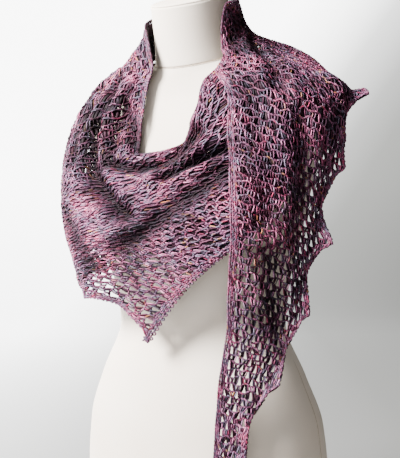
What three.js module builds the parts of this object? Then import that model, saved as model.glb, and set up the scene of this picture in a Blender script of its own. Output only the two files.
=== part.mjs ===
// A crocheted lace shawl draped on a limbless dress form.
// Millimetres, +Z up. The form stands on the plane z = 0, its front faces -Y
// and the wearer's own left is +X.
import * as THREE from 'three';

// ---------------------------------------------------------------- sizes
const WALL = 2.6;            // thickness of the crocheted cloth
const SEAM = 0.25;           // trimmed off each side of a seam between stretches
const CUT_LENGTH = 1550;     // straight edge of the flat shawl, tip to last row
const CUT_START = 5;         // width at the tip of the tail
const CUT_GROWTH = 0.31;     // width gained for each mm of straight edge
const TOOTH_REACH = 27;      // how far a tooth stands out of the long edge
const TOOTH_PITCH = 110;     // tooth tip to tooth tip along the straight edge
const STEPS_PER_TOOTH = 8;   // rows of facets in each tooth
const CROWDING = 1.25;       // crowds the facets towards the straight edge
const LAYER_CHANGE = 835;    // where the tail's folds give way to the cowl's
const LAYER_FADE = 60;       // folds fade out over this much on each side
const MM_PER_DEGREE = 2.6;   // girth of the drape, used to measure across folds
const BODY_SIDES = 48;       // facets round the form
const NECK_GAP = 0.32;       // joint between the form's body, neck and cap
const CAP_RISE = 5;
const FINIAL_SHIFT = 8;      // the knob sits a little forward on the cap

// ---------------------------------------------------------------- tables
const table = (names, rows) => rows.map((r) => Object.fromEntries(names.map((n, i) => [n, r[i]])));

// Rings of the form's body, bottom to neck joint. y is the ring's centre,
// tilt leans its front down, square is the exponent of its outline and
// bust swells it at both sides of the front.
const bodyRings = table(
  ['z', 'y', 'half', 'front', 'back', 'tilt', 'square', 'bust'], [
    [0, 6, 173, 112, 118, 0, 2.15, 0],
    [60, 6, 183, 119, 129, 0, 2.15, 0],
    [115, 6, 186, 121, 132, 0, 2.15, 0],
    [180, 4, 181, 119, 127, 0, 2.12, 0],
    [250, 1, 157, 109, 106, 0, 2.10, 0],
    [320, 0, 128, 96, 90, 0, 2.05, 0],
    [370, 0, 132, 100, 92, 0, 2.05, 0.05],
    [420, 0, 144, 110, 98, 1, 2.10, 0.11],
    [470, -1, 156, 117, 107, 2, 2.15, 0.17],
    [515, 0, 166, 115, 112, 4, 2.20, 0.12],
    [555, 1, 177, 108, 114, 6, 2.25, 0.05],
    [595, 1, 188, 98, 111, 8, 2.25, 0],
    [625, 1, 194, 89, 102, 11, 2.20, 0],
    [648, -1, 189, 80, 91, 14, 2.15, 0],
    [666, -4, 168, 73, 81, 17, 2.10, 0],
    [680, -8, 134, 68, 72, 19, 2.05, 0],
    [690, -12, 102, 64, 65, 20.5, 2, 0],
    [698, -15, 75, 61, 60, 21, 2, 0],
    [705, -17, 61.5, 58.5, 57, 21, 2, 0],
  ]);
const neckRings = table(
  ['z', 'y', 'half', 'front', 'back', 'tilt', 'square', 'bust'], [
    [705, -17, 61.2, 58.2, 56.7, 21, 2, 0],
    [730, -24, 58, 55.5, 54.5, 21, 2, 0],
    [757, -31, 56.5, 54.5, 54, 21, 2, 0],
    [785, -37, 56.5, 54.5, 54.5, 21, 2, 0],
  ]);

// The cloth's resting surface. down is the way from the neck joint over the
// shoulder and down the side, minus up the neck. Below the bust it hangs
// free of the waist.
const drapeRings = table(
  ['down', 'z', 'y', 'right', 'left', 'front', 'back', 'tilt', 'square', 'bust'], [
    [-90, 794, -40, 62, 62, 60, 61, 20, 2, 0],
    [-45, 751, -29, 65, 64, 61, 63, 20, 2, 0],
    [0, 717, -19, 78, 77, 68, 75, 20.5, 2, 0],
    [30, 704, -14.5, 102, 101, 73.5, 89, 19.5, 2, 0],
    [70, 692, -9, 141, 140, 79, 99, 18, 2.05, 0],
    [110, 674, -4, 175, 175, 86, 108, 15.5, 2.10, 0],
    [150, 637, 0, 202, 202, 98, 118, 11.5, 2.15, 0],
    [200, 580, 0, 219, 205, 114, 124, 7, 2.15, 0.05],
    [260, 520, 0, 222, 201, 128, 127, 4, 2.10, 0.12],
    [320, 460, 0, 213, 196, 135, 128, 2, 2.08, 0.11],
    [400, 380, 0, 196, 190, 134, 128, 0, 2.05, 0.06],
    [480, 300, 0, 184, 186, 129, 128, 0, 2.05, 0.02],
    [560, 220, 1, 188, 189, 127, 134, 0, 2.10, 0],
    [660, 120, 4, 193, 193, 127, 141, 0, 2.12, 0],
    [780, 0, 4, 185, 185, 124, 136, 0, 2.12, 0],
  ]);

// Rows of crochet, from the tip of the tail to the last row. at is the place
// along the straight edge; edge and hem say where the row starts and ends on
// the drape (turn in degrees from the front towards the wearer's left, down
// and lift in mm). aside and bow bend the row sideways and downwards near its
// start, sag lifts its middle, and flare turns its tooth outwards.
const clothRows = table(
  ['at', 'edgeTurn', 'edgeDown', 'edgeLift', 'hemTurn', 'hemDown', 'hemLift', 'aside', 'bow', 'sag', 'flare'], [
    [0, 20, 742, 0, 23, 744, 0, 0, 0, 0, 0],
    [120, 25, 623, 1, 34, 626, 2, 0, 0, 0, 0.1],
    [200, 28, 541, 2, 46, 551, 4, 0, 0, 0, 0.2],
    [300, 33, 440, 5, 62, 465, 9, 0, 0, 0, 0.2],
    [400, 33, 340, 9, 70, 376, 12, 0, 0, 0, 0.3],
    [500, 30, 240, 10, 76, 292, 12, 0, 0, 0, 0.2],
    [580, 27, 160, 10, 85, 215, 13, 0, 0, 0, 0.2],
    [640, 27, 85, 10, 93, 166, 15, 0, 0, 2, 0.5],
    [686, 48, 22, 10, 100, 151, 15, 0, 0, 3, 0.62],
    [773, 77, -72, 8, 132, 188, 10, 0, 0, 5, 0.3],
    [905, 180, -66, 6, 180, 262, 2, 0, 0, 6, 0.1],
    [1028, 305, -55, 2, 212, 262, 2, 0, 0, 5, 0.1],
    [1075, 340, 15, 0, 232, 285, 0, 0, 0, 5, 0.1],
    [1118, 347, 100, 0, 243, 320, 0, 0, 5, 5, 0.1],
    [1175, 351, 165, 0, 254, 358, 0, 0, 0, 2, 0.1],
    [1225, 352, 207, 0, 263, 380, 0, 2, -5, 0, 0.1],
    [1255, 360, 205, 0, 268, 388, 0, 6, -2, 0, 0.1],
    [1290, 369, 190, 0, 276, 393, 0, 11, 4, 0, 0.1],
    [1334, 376, 145, 0, 288, 396, 0, 14, 18, 0, 0.1],
    [1380, 382, 96, 0, 303, 397, 0, 16, 50, 0, 0.1],
    [1442, 412, 22, 0, 326, 402, 0, 8, 82, 0, 0.1],
    [1500, 430, 35, 0, 345, 428, 0, 2, 82, 0, 0],
    [1550, 443, 60, 0, 362, 456, 0, 0, 66, 0, 0],
  ]);

// Folds, each a soft line from, via and to points on the drape. layer 1 is
// the cowl and the cloth round the back, layer 2 the tail that lies over it.
// A positive depth is a valley and a negative one a ridge.
const folds = table(
  ['layer', 'fromTurn', 'fromDown', 'viaTurn', 'viaDown', 'toTurn', 'toDown', 'depth', 'width'], [
    [1, -51, 140, -44, 175, -40, 215, 6, 12],
    [1, -52, 60, -34, 115, -31, 175, 8, 13],
    [1, -31, 175, -25, 235, -10, 298, 10, 13],
    [1, -22, 132, -14, 165, -7, 200, 5, 9],
    [1, -15, 222, 3, 224, 14, 178, 7, 9],
    [1, -2, 256, 12, 226, 26, 180, 9, 10],
    [1, -12, 345, 5, 300, 28, 236, 6, 14],
    [1, -40, 300, -34, 340, -28, 375, 4, 14],
    [1, -14, 250, 3, 240, 17, 195, -3, 8],
    [1, -38, 95, -24, 190, -12, 262, -4, 10],
    [1, -68, 110, -76, 210, -74, 320, 8, 17],
    [1, -98, 95, -112, 170, -118, 260, 7, 16],
    [1, -134, 40, -142, 120, -150, 220, 7, 15],
    [1, -164, 30, -170, 110, -172, 220, 8, 16],
    [1, 168, 40, 166, 120, 160, 220, 6, 15],
    [1, 146, 20, 140, 90, 148, 190, 7, 15],
    [2, 108, -20, 76, 45, 52, 130, 6, 13],
    [2, 90, 130, 88, 160, 90, 200, -5, 9],
    [2, 49, 347, 53, 402, 56, 455, 5, 13],
    [2, 37, 130, 42, 220, 44, 310, 3, 15],
    [2, 60, 175, 62, 255, 61, 330, 4, 14],
    [2, 42, 540, 40, 590, 37, 650, -4, 7],
  ]);

// ---------------------------------------------------------------- curves
// Smooth monotone interpolation of every column of a table over column key.
function smooth(rows, key) {
  const x = rows.map((r, i) => (key === undefined ? i : r[key]));
  const names = Object.keys(rows[0]);
  const n = x.length;
  const columns = names.map((name) => {
    const y = rows.map((r) => r[name]);
    const step = [], slope = [];
    for (let i = 0; i < n - 1; i++) {
      step.push(x[i + 1] - x[i]);
      slope.push((y[i + 1] - y[i]) / step[i]);
    }
    const m = new Array(n).fill(0);
    for (let i = 1; i < n - 1; i++) {
      if (slope[i - 1] * slope[i] > 0) {
        const a = 2 * step[i] + step[i - 1], b = step[i] + 2 * step[i - 1];
        m[i] = (a + b) / (a / slope[i - 1] + b / slope[i]);
      }
    }
    m[0] = slope[0];
    m[n - 1] = slope[n - 2];
    return { y, m };
  });
  return (v) => {
    const q = Math.min(Math.max(v, x[0]), x[n - 1]);
    let i = 0;
    while (i < n - 2 && q >= x[i + 1]) i++;
    const h = x[i + 1] - x[i], t = (q - x[i]) / h;
    const out = {};
    names.forEach((name, c) => {
      const { y, m } = columns[c];
      out[name] = y[i] * (1 + 2 * t) * (1 - t) ** 2 + m[i] * h * t * (1 - t) ** 2
        + y[i + 1] * t * t * (3 - 2 * t) + m[i + 1] * h * t * t * (t - 1);
    });
    return out;
  };
}

const signedPower = (v, p) => Math.sign(v) * Math.abs(v) ** p;
const wrap = (deg) => ((((deg + 180) % 360) + 360) % 360) - 180;
const bump = (v, at, width) => Math.exp(-(((v - at) / width) ** 2));

// A point of a ring, turn degrees round from the front to the wearer's left.
function ringPoint(r, turn) {
  const a = (turn * Math.PI) / 180, s = Math.sin(a), c = Math.cos(a), w = wrap(turn);
  const swell = 1 + r.bust * (bump(w, 36, 21) + bump(w, -36, 21));
  const half = r.half !== undefined ? r.half : (s > 0 ? r.left : r.right);
  const x = swell * half * signedPower(s, 2 / r.square);
  const depth = swell * (c > 0 ? r.front : r.back) * signedPower(c, 2 / r.square);
  const tilt = (r.tilt * Math.PI) / 180;
  return new THREE.Vector3(x, r.y - depth * Math.cos(tilt), r.z - depth * Math.sin(tilt));
}

const drapeAt = smooth(drapeRings, 'down');
const drapePoint = (turn, down) => ringPoint(drapeAt(down), turn);
function drapeNormal(turn, down) {
  const across = drapePoint(turn + 0.6, down).sub(drapePoint(turn - 0.6, down));
  const along = drapePoint(turn, down + 2).sub(drapePoint(turn, down - 2));
  return along.cross(across).normalize();
}

// ---------------------------------------------------------------- cloth
const rowAt = smooth(clothRows, 'at');
const baseWidth = (at) => CUT_START + CUT_GROWTH * at;

// Teeth are slanted steps: long on the side towards the wide end, short and
// sharp on the side towards the tail.
function toothReach(at) {
  const u = ((((at - CUT_LENGTH) / TOOTH_PITCH) % 1) + 1) % 1;
  const shape = u < 0.5 ? 1 - u / 0.5 : u < 0.9 ? ((u - 0.5) / 0.4) * 0.5 : 0.5 + ((u - 0.9) / 0.1) * 0.5;
  return TOOTH_REACH * Math.min(1, 0.4 + at / 150) * Math.max(shape, 0.07);
}

function foldLines(layer) {
  return folds.filter((f) => f.layer === layer).map((f) => {
    const curve = new THREE.QuadraticBezierCurve(
      new THREE.Vector2(f.fromTurn * MM_PER_DEGREE, f.fromDown),
      new THREE.Vector2(
        (2 * f.viaTurn - (f.fromTurn + f.toTurn) / 2) * MM_PER_DEGREE,
        2 * f.viaDown - (f.fromDown + f.toDown) / 2),
      new THREE.Vector2(f.toTurn * MM_PER_DEGREE, f.toDown));
    return { points: curve.getPoints(12), depth: f.depth, width: f.width };
  });
}
const foldsOf = { 1: foldLines(1), 2: foldLines(2) };

function foldHeight(layer, turn, down) {
  const girth = 360 * MM_PER_DEGREE;
  let height = 0;
  for (const f of foldsOf[layer]) {
    let nearest = Infinity;
    const x = wrap(turn) * MM_PER_DEGREE;
    for (const shift of [-girth, 0, girth]) {
      for (let i = 0; i < f.points.length - 1; i++) {
        const a = f.points[i], b = f.points[i + 1];
        const dx = b.x - a.x, dy = b.y - a.y, px = x + shift - a.x, py = down - a.y;
        const t = Math.min(Math.max((px * dx + py * dy) / (dx * dx + dy * dy), 0), 1);
        nearest = Math.min(nearest, Math.hypot(px - t * dx, py - t * dy));
      }
    }
    height -= f.depth * Math.exp(-((nearest / f.width) ** 2));
  }
  return height;
}

// The folds of both layers fade out where one layer turns into the other.
function foldFade(layer, at) {
  const t = (layer === 1 ? at - LAYER_CHANGE : LAYER_CHANGE - at) / LAYER_FADE;
  return THREE.MathUtils.smoothstep(t, 0, 1);
}

// A point of the cloth's middle surface: at along the straight edge, across
// from that edge in flat mm, and side -1 or 1 for its inner or outer face.
function clothPoint(layer, at, across, side) {
  const r = rowAt(at), base = baseWidth(at), beyond = Math.max(across - base, 0);
  const u = (across - beyond * r.flare) / base, v = Math.min(Math.max(u, 0), 1);
  const skew = 6.75 * v * (1 - v) ** 2, middle = 4 * v * (1 - v);
  const turn = r.edgeTurn + (r.hemTurn - r.edgeTurn) * u + r.aside * skew;
  const down = r.edgeDown + (r.hemDown - r.edgeDown) * u + r.bow * skew;
  const lift = r.edgeLift + (r.hemLift - r.edgeLift) * v + r.sag * middle + r.flare * beyond;
  const off = lift + foldFade(layer, at) * foldHeight(layer, turn, down) + (side * WALL) / 2;
  return drapePoint(turn, down).addScaledVector(drapeNormal(turn, down), off);
}

function solid(vertices, triangles) {
  let volume = 0;
  for (const [a, b, c] of triangles) {
    volume += vertices[a].dot(new THREE.Vector3().crossVectors(vertices[b], vertices[c]));
  }
  const g = new THREE.BufferGeometry();
  g.setAttribute('position', new THREE.Float32BufferAttribute(vertices.flatMap((v) => [v.x, v.y, v.z]), 3));
  g.setIndex(triangles.flatMap(([a, b, c]) => (volume < 0 ? [a, c, b] : [a, b, c])));
  g.computeVertexNormals();
  return g;
}

// One stretch of the shawl: a wall between two rows, with its teeth. Where its
// first row meets a stretch with half as many columns, that row follows the
// coarser facets, so the seam keeps an even gap.
function stretch(layer, from, to, columns, coarseStart) {
  const pitch = TOOTH_PITCH / STEPS_PER_TOOTH;
  const count = Math.round((to - from) / pitch);
  const rows = [];
  for (let i = 0; i <= count; i++) {
    const at = from + ((to - from) * i) / count;
    rows.push(Math.min(Math.max(at, from + (from > 20 ? SEAM : 0)), to - (to < CUT_LENGTH ? SEAM : 0)));
  }
  const cols = columns + 2;
  const vertices = [], triangles = [];
  for (const side of [1, -1]) {
    rows.forEach((at, i) => {
      const base = baseWidth(at), reach = toothReach(at), first = vertices.length;
      for (let j = 0; j <= cols; j++) {
        const across = j <= columns ? base * (j / columns) ** CROWDING : base + (reach * (j - columns)) / 2;
        vertices.push(clothPoint(layer, at, across, side));
      }
      if (coarseStart && i === 0) {
        for (let j = 1; j < columns; j += 2) {
          vertices[first + j].lerpVectors(vertices[first + j - 1], vertices[first + j + 1], 0.5);
        }
      }
    });
  }
  const width = cols + 1, sheet = rows.length * width;
  const quad = (a, b, c, d) => triangles.push([a, b, c], [a, c, d]);
  for (let i = 0; i < rows.length - 1; i++) {
    for (let j = 0; j < cols; j++) {
      const a = i * width + j;
      quad(a, a + 1, a + 1 + width, a + width);
      quad(sheet + a, sheet + a + width, sheet + a + 1 + width, sheet + a + 1);
    }
  }
  const rim = [];
  for (let j = 0; j <= cols; j++) rim.push(j);
  for (let i = 1; i < rows.length; i++) rim.push(i * width + cols);
  for (let j = cols - 1; j >= 0; j--) rim.push((rows.length - 1) * width + j);
  for (let i = rows.length - 2; i > 0; i--) rim.push(i * width);
  rim.forEach((a, k) => {
    const b = rim[(k + 1) % rim.length];
    quad(b, a, a + sheet, b + sheet);
  });
  return solid(vertices, triangles);
}

// ---------------------------------------------------------------- form
// A stack of rings closed by a flat cap at each end.
function ringStack(rings, perRow) {
  const ringAt = smooth(rings), vertices = [], triangles = [];
  const count = (rings.length - 1) * perRow + 1;
  for (let i = 0; i < count; i++) {
    const r = ringAt(i / perRow);
    for (let j = 0; j < BODY_SIDES; j++) vertices.push(ringPoint(r, (360 * j) / BODY_SIDES));
  }
  for (let i = 0; i < count - 1; i++) {
    for (let j = 0; j < BODY_SIDES; j++) {
      const k = (j + 1) % BODY_SIDES, a = i * BODY_SIDES, b = a + BODY_SIDES;
      triangles.push([a + j, a + k, b + k], [a + j, b + k, b + j]);
    }
  }
  for (const [ring, up] of [[0, false], [count - 1, true]]) {
    const r = ringAt(ring / perRow), centre = vertices.length, a = ring * BODY_SIDES;
    vertices.push(new THREE.Vector3(0, r.y, r.z));
    for (let j = 0; j < BODY_SIDES; j++) {
      const k = (j + 1) % BODY_SIDES;
      triangles.push(up ? [centre, a + j, a + k] : [centre, a + k, a + j]);
    }
  }
  return solid(vertices, triangles);
}

// A turned piece from pairs of radius and height, standing along the neck.
function turned(profile, sides, flatten) {
  const g = new THREE.LatheGeometry(profile.map(([r, h]) => new THREE.Vector2(r, h)), sides);
  g.rotateX(Math.PI / 2);
  g.scale(1, flatten, 1);
  return g;
}

const lastNeck = neckRings[neckRings.length - 1];
const lean = (lastNeck.tilt * Math.PI) / 180;
const neckAxis = new THREE.Vector3(0, -Math.sin(lean), Math.cos(lean));
const neckTop = new THREE.Vector3(0, lastNeck.y, lastNeck.z);

const capProfile = [[0, 0], [lastNeck.half - 0.6, 0], [lastNeck.half, 0.8], [lastNeck.half - 1.2, 2.2],
  [lastNeck.half * 0.8, CAP_RISE * 0.75], [lastNeck.half * 0.45, CAP_RISE * 0.95], [0, CAP_RISE]];
const finialProfile = [[0, 0], [15, 0], [16, 1.5], [15, 4], [10, 6], [7.5, 9], [8, 12], [13, 16],
  [17, 22], [18, 28], [16, 34], [10, 39], [5, 42], [4.5, 44], [0, 45.5]];

// ---------------------------------------------------------------- model
const rowEnd = (k) => CUT_LENGTH - (TOOTH_PITCH * k) / STEPS_PER_TOOTH;
const stretches = table(['name', 'layer', 'from', 'to', 'columns', 'coarseStart'], [
  ['shawl_tail_front', 2, rowEnd(112), rowEnd(69), 10, false],
  ['shawl_left_shoulder', 2, rowEnd(69), rowEnd(52), 10, false],
  ['shawl_back', 1, rowEnd(52), rowEnd(39), 20, true],
  ['shawl_right_shoulder', 1, rowEnd(39), rowEnd(25), 20, false],
  ['shawl_front_cowl', 1, rowEnd(25), rowEnd(0), 20, false],
]);

const yarn = () => new THREE.MeshStandardMaterial({ color: 0x7d5668, roughness: 0.85, metalness: 0 });
const linen = () => new THREE.MeshStandardMaterial({ color: 0xe9dfd0, roughness: 0.9, metalness: 0 });
const wood = () => new THREE.MeshStandardMaterial({ color: 0x4a2618, roughness: 0.45, metalness: 0 });

const model = new THREE.Group();
function add(name, geometry, material) {
  const mesh = new THREE.Mesh(geometry, material);
  mesh.name = name;
  model.add(mesh);
  return mesh;
}

add('form_body', ringStack(bodyRings, 1), linen());
const neck = add('form_neck', ringStack(neckRings, 1), linen());
neck.position.copy(neckAxis).multiplyScalar(NECK_GAP);

const cap = add('form_neck_cap', turned(capProfile, BODY_SIDES, 0.965), linen());
cap.rotation.x = lean;
cap.position.copy(neckTop).addScaledVector(neckAxis, 2 * NECK_GAP);

const finial = add('form_finial', turned(finialProfile, 32, 1), wood());
finial.rotation.x = lean;
finial.position.copy(neckTop).addScaledVector(neckAxis, CAP_RISE + 3 * NECK_GAP);
finial.position.y -= FINIAL_SHIFT * Math.cos(lean);
finial.position.z -= FINIAL_SHIFT * Math.sin(lean);

for (const s of stretches) {
  add(s.name, stretch(s.layer, s.from, s.to, s.columns, s.coarseStart), yarn());
}

export default model;
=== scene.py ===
# A crocheted lace shawl draped on a limbless dress form, in metres, +Z up.
import math

import bpy
import numpy as np
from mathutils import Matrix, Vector


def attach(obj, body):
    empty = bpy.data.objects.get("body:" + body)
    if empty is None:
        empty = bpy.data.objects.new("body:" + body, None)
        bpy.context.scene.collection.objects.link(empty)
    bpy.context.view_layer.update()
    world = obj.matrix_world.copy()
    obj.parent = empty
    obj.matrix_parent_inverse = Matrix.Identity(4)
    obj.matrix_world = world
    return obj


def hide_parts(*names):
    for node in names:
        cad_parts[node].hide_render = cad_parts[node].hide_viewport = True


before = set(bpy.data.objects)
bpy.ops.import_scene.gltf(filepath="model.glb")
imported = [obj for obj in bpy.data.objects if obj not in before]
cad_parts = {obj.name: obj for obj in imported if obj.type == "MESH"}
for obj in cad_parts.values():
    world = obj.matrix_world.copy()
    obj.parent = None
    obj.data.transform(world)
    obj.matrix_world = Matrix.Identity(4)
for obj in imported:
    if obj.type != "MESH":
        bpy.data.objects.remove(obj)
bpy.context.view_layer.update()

rng = np.random.default_rng(7)

# ------------------------------------------------------------------ tables
# The same sizes as the solids, in mm and degrees.
CUT_LENGTH, CUT_START, CUT_GROWTH = 1550.0, 5.0, 0.31
TOOTH_REACH, TOOTH_PITCH = 27.0, 110.0
LAYER_CHANGE, LAYER_FADE, MM_PER_DEGREE = 835.0, 60.0, 2.6
NECK_GAP, CAP_RISE, FINIAL_SHIFT = 0.32, 5.0, 8.0

# z, y, half, front, back, tilt, square, bust
BODY_RINGS = np.array([
    [0, 6, 173, 112, 118, 0, 2.15, 0], [60, 6, 183, 119, 129, 0, 2.15, 0],
    [115, 6, 186, 121, 132, 0, 2.15, 0], [180, 4, 181, 119, 127, 0, 2.12, 0],
    [250, 1, 157, 109, 106, 0, 2.10, 0], [320, 0, 128, 96, 90, 0, 2.05, 0],
    [370, 0, 132, 100, 92, 0, 2.05, 0.05], [420, 0, 144, 110, 98, 1, 2.10, 0.11],
    [470, -1, 156, 117, 107, 2, 2.15, 0.17], [515, 0, 166, 115, 112, 4, 2.20, 0.12],
    [555, 1, 177, 108, 114, 6, 2.25, 0.05], [595, 1, 188, 98, 111, 8, 2.25, 0],
    [625, 1, 194, 89, 102, 11, 2.20, 0], [648, -1, 189, 80, 91, 14, 2.15, 0],
    [666, -4, 168, 73, 81, 17, 2.10, 0], [680, -8, 134, 68, 72, 19, 2.05, 0],
    [690, -12, 102, 64, 65, 20.5, 2, 0], [698, -15, 75, 61, 60, 21, 2, 0],
    [705, -17, 61.5, 58.5, 57, 21, 2, 0]], float)
NECK_RINGS = np.array([
    [705, -17, 61.2, 58.2, 56.7, 21, 2, 0], [730, -24, 58, 55.5, 54.5, 21, 2, 0],
    [757, -31, 56.5, 54.5, 54, 21, 2, 0], [785, -37, 56.5, 54.5, 54.5, 21, 2, 0]], float)
# down, z, y, right, left, front, back, tilt, square, bust
DRAPE_RINGS = np.array([
    [-90, 794, -40, 62, 62, 60, 61, 20, 2, 0], [-45, 751, -29, 65, 64, 61, 63, 20, 2, 0],
    [0, 717, -19, 78, 77, 68, 75, 20.5, 2, 0], [30, 704, -14.5, 102, 101, 73.5, 89, 19.5, 2, 0],
    [70, 692, -9, 141, 140, 79, 99, 18, 2.05, 0], [110, 674, -4, 175, 175, 86, 108, 15.5, 2.10, 0],
    [150, 637, 0, 202, 202, 98, 118, 11.5, 2.15, 0], [200, 580, 0, 219, 205, 114, 124, 7, 2.15, 0.05],
    [260, 520, 0, 222, 201, 128, 127, 4, 2.10, 0.12], [320, 460, 0, 213, 196, 135, 128, 2, 2.08, 0.11],
    [400, 380, 0, 196, 190, 134, 128, 0, 2.05, 0.06], [480, 300, 0, 184, 186, 129, 128, 0, 2.05, 0.02],
    [560, 220, 1, 188, 189, 127, 134, 0, 2.10, 0], [660, 120, 4, 193, 193, 127, 141, 0, 2.12, 0],
    [780, 0, 4, 185, 185, 124, 136, 0, 2.12, 0]], float)
# at, edge turn, down, lift, hem turn, down, lift, aside, bow, sag, flare
CLOTH_ROWS = np.array([
    [0, 20, 742, 0, 23, 744, 0, 0, 0, 0, 0], [120, 25, 623, 1, 34, 626, 2, 0, 0, 0, 0.1],
    [200, 28, 541, 2, 46, 551, 4, 0, 0, 0, 0.4], [300, 33, 440, 5, 62, 465, 9, 0, 0, 0, 0.4],
    [400, 33, 340, 9, 70, 376, 12, 0, 0, 0, 0.6], [500, 30, 240, 10, 76, 292, 12, 0, 0, 0, 0.8],
    [580, 27, 160, 10, 85, 215, 13, 0, 0, 0, 0.45], [640, 27, 85, 10, 93, 166, 15, 0, 0, 2, 0.75],
    [686, 48, 22, 10, 100, 149, 15, 0, 0, 3, 0.95], [773, 77, -72, 8, 132, 188, 10, 0, 0, 5, 0.4],
    [905, 180, -66, 6, 180, 262, 2, 0, 0, 6, 0.1], [1028, 305, -55, 2, 212, 262, 2, 0, 0, 5, 0.1],
    [1075, 340, 15, 0, 232, 285, 0, 0, 0, 5, 0.1], [1118, 347, 100, 0, 243, 320, 0, 0, 5, 5, 0.1],
    [1175, 351, 165, 0, 254, 358, 0, 0, 0, 2, 0.1], [1225, 352, 207, 0, 263, 380, 0, 2, -5, 0, 0.1],
    [1255, 360, 205, 0, 268, 388, 0, 6, -2, 0, 0.1], [1290, 369, 190, 0, 276, 393, 0, 11, 4, 0, 0.1],
    [1334, 372, 145, 0, 288, 396, 0, 14, 18, 0, 0.1], [1380, 377, 96, 0, 303, 397, 0, 16, 50, 0, 0.1],
    [1442, 412, 22, 0, 326, 402, 0, 8, 82, 0, 0.1], [1500, 430, 35, 0, 345, 428, 0, 2, 82, 0, 0],
    [1550, 443, 60, 0, 362, 456, 0, 0, 66, 0, 0]], float)
# layer, from turn, down, via turn, down, to turn, down, depth, width
FOLDS = [
    [1, -51, 140, -44, 175, -40, 215, 6, 12], [1, -52, 60, -36, 115, -33, 175, 9, 11],
    [1, -31, 175, -25, 235, -10, 298, 12, 12], [1, -22, 132, -14, 165, -7, 200, 5, 9],
    [1, -15, 222, 3, 224, 14, 178, 7, 9], [1, 4, 243, 14, 224, 27, 201, 10, 8],
    [1, -24, 97, -20, 176, -19, 226, 5, 9], [1, -12, 345, 5, 300, 28, 236, 6, 14], [1, -40, 300, -34, 340, -28, 375, 4, 14],
    [1, -14, 250, 3, 240, 17, 195, -3, 8], [1, -38, 95, -24, 190, -12, 262, -4, 10],
    [1, -68, 110, -76, 210, -74, 320, 8, 17], [1, -98, 95, -112, 170, -118, 260, 7, 16],
    [1, -134, 40, -142, 120, -150, 220, 7, 15], [1, -164, 30, -170, 110, -172, 220, 8, 16],
    [1, 168, 40, 166, 120, 160, 220, 6, 15], [1, 146, 20, 140, 90, 148, 190, 7, 15],
    [2, 108, -20, 76, 45, 52, 130, 6, 13], [2, 90, 130, 88, 160, 90, 200, -5, 9],
    [2, 49, 347, 53, 402, 56, 455, 5, 13], [2, 37, 130, 42, 220, 44, 310, 3, 15],
    [2, 60, 175, 62, 255, 61, 330, 4, 14], [2, 42, 540, 40, 590, 37, 650, -4, 7],
]
ROW = TOOTH_PITCH / 8
STRETCHES = [  # name, from, to along the straight edge
    ("shawl_tail_front", CUT_LENGTH - ROW * 112, CUT_LENGTH - ROW * 69),
    ("shawl_left_shoulder", CUT_LENGTH - ROW * 69, CUT_LENGTH - ROW * 52),
    ("shawl_back", CUT_LENGTH - ROW * 52, CUT_LENGTH - ROW * 39),
    ("shawl_right_shoulder", CUT_LENGTH - ROW * 39, CUT_LENGTH - ROW * 25),
    ("shawl_front_cowl", CUT_LENGTH - ROW * 25, CUT_LENGTH),
]


# ------------------------------------------------------------------ curves
def smooth(x, y):
    """Monotone cubic through the rows of y at x."""
    h = np.diff(x)
    d = np.diff(y, axis=0) / h[:, None]
    m = np.zeros_like(y)
    for i in range(1, len(x) - 1):
        a, b = 2 * h[i] + h[i - 1], h[i] + 2 * h[i - 1]
        same = d[i - 1] * d[i] > 0
        with np.errstate(divide="ignore", invalid="ignore"):
            m[i] = np.where(same, (a + b) / (a / d[i - 1] + b / d[i]), 0)
    m[0], m[-1] = d[0], d[-1]

    def at(v):
        v = np.clip(np.asarray(v, float), x[0], x[-1])
        i = np.clip(np.searchsorted(x, v, side="right") - 1, 0, len(x) - 2)
        t = ((v - x[i]) / h[i])[..., None]
        k = h[i][..., None]
        return (y[i] * (1 + 2 * t) * (1 - t) ** 2 + m[i] * k * t * (1 - t) ** 2
                + y[i + 1] * t * t * (3 - 2 * t) + m[i + 1] * k * t * t * (t - 1))
    return at


def signed_power(v, p):
    return np.sign(v) * np.abs(v) ** p


def ring_point(r, turn):
    """r[..., :] is y, z, right, left, front, back, tilt, square, bust."""
    a = np.radians(turn)
    s, c = np.sin(a), np.cos(a)
    w = np.mod(turn + 180, 360) - 180
    y0, z0, right, left, front, back, tilt, square, bust = [r[..., i] for i in range(9)]
    swell = 1 + bust * (np.exp(-((w - 36) / 21.0) ** 2) + np.exp(-((w + 36) / 21.0) ** 2))
    x = swell * np.where(s > 0, left, right) * signed_power(s, 2 / square)
    depth = swell * np.where(c > 0, front, back) * signed_power(c, 2 / square)
    lean = np.radians(tilt)
    return np.stack([x, y0 - depth * np.cos(lean), z0 - depth * np.sin(lean)], -1)


_drape = smooth(DRAPE_RINGS[:, 0], DRAPE_RINGS[:, [2, 1, 3, 4, 5, 6, 7, 8, 9]])
_row = smooth(CLOTH_ROWS[:, 0], CLOTH_ROWS[:, 1:])


def drape_point(turn, down):
    return ring_point(_drape(down), turn)


def unit(v):
    return v / np.maximum(np.linalg.norm(v, axis=-1, keepdims=True), 1e-12)


def drape_normal(turn, down):
    across = drape_point(turn + 0.6, down) - drape_point(turn - 0.6, down)
    along = drape_point(turn, down + 2) - drape_point(turn, down - 2)
    return unit(np.cross(along, across))


def smoothstep(t):
    t = np.clip(t, 0, 1)
    return t * t * (3 - 2 * t)


def base_width(at):
    return CUT_START + CUT_GROWTH * at


def tooth_reach(at):
    u = np.mod((at - CUT_LENGTH) / TOOTH_PITCH, 1.0)
    shape = np.where(u < 0.5, 1 - u / 0.5,
                     np.where(u < 0.9, (u - 0.5) / 0.4 * 0.5, 0.5 + (u - 0.9) / 0.1 * 0.5))
    return TOOTH_REACH * np.minimum(1, 0.4 + at / 150) * np.maximum(shape, 0.07)


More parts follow.
